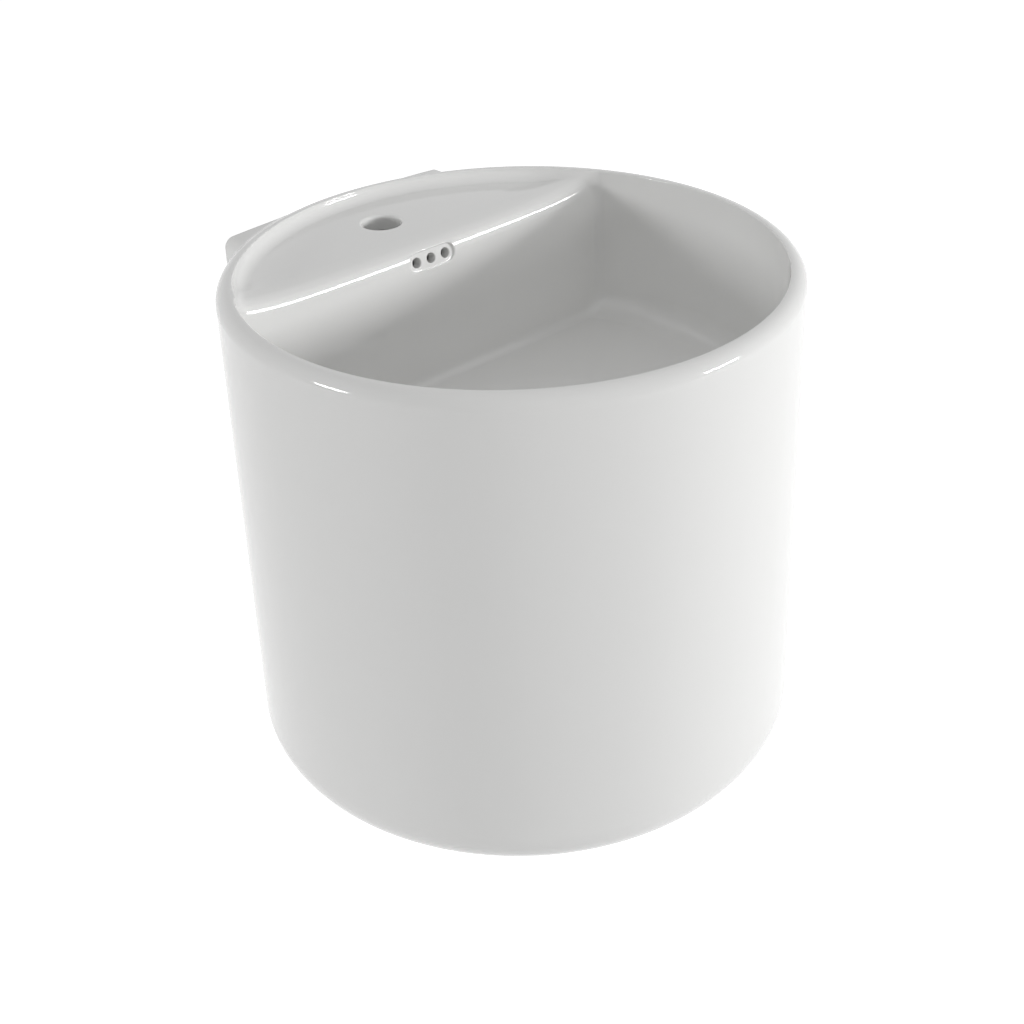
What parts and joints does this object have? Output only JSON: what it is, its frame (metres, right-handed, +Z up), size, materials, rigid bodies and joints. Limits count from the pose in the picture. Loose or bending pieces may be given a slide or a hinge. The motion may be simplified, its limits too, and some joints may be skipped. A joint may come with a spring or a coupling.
{
  "type": "wall-hung washbasin",
  "caption": "Wall-hung drum washbasin with a D-shaped bowl, tap ledge, overflow holes, click waste and bottle trap.",
  "frame": {"origin": "on the wall plane, midway between the two wall fixings", "axes": "+X to the right as seen from the room, +Y into the wall, +Z up"},
  "size_m": [0.48, 0.5319, 0.44],
  "materials": {
    "glazed_ceramic": "white glaze, glossy",
    "chromed_brass": "polished chrome on brass",
    "black_rubber": "matt black rubber",
    "white_plastic": "white plastic",
    "zinced_steel": "zinc-plated steel"
  },
  "bodies": {
    "basin": {"basin_body": "glazed_ceramic", "waste_body": "chromed_brass", "waste_top_washer": "black_rubber", "waste_cone_seal": "black_rubber", "waste_slip_washer": "white_plastic", "waste_back_nut": "chromed_brass", "click_cartridge": "white_plastic", "click_spring": "zinced_steel", "trap_inlet_nut": "chromed_brass", "trap_inlet_washer": "black_rubber", "trap_inlet_tube": "chromed_brass", "trap_collar_nut": "chromed_brass", "trap_collar_seal": "black_rubber", "trap_bottle": "chromed_brass", "trap_outlet_nut": "chromed_brass", "trap_outlet_seal": "black_rubber", "outlet_pipe": "chromed_brass", "wall_rosette": "chromed_brass", "fixing_studs": "zinced_steel", "fixing_sleeves": "white_plastic", "fixing_washers": "zinced_steel", "fixing_nuts": "zinced_steel", "fixing_nut_caps": "white_plastic"},
    "plug": {"plug_cap": "chromed_brass", "plug_seal": "black_rubber", "plug_stem": "zinced_steel"},
    "cup_seal": {"trap_cup_seal": "black_rubber"},
    "cup": {"trap_cup": "chromed_brass"}
  },
  "joints": [
    {"name": "plug_push", "type": "slide", "parent": "basin", "child": "plug", "axis": [0, 0, 1], "range_m": [0, 0.008], "deforming": ["click_spring"]},
    {"name": "trap_cup_drop", "type": "slide", "parent": "basin", "child": "cup_seal", "axis": [0, 0, 1], "range_m": [-0.012, 0]},
    {"name": "trap_cup_turn", "type": "hinge", "parent": "cup_seal", "child": "cup", "pos_m": [0, -0.265, -0.26], "axis": [0, 0, -1], "range_deg": [0, 1440]}
  ],
  "couplings": [
    {"joint": "trap_cup_drop", "follows": "trap_cup_turn", "m_per_rad": -0.0004774}
  ]
}
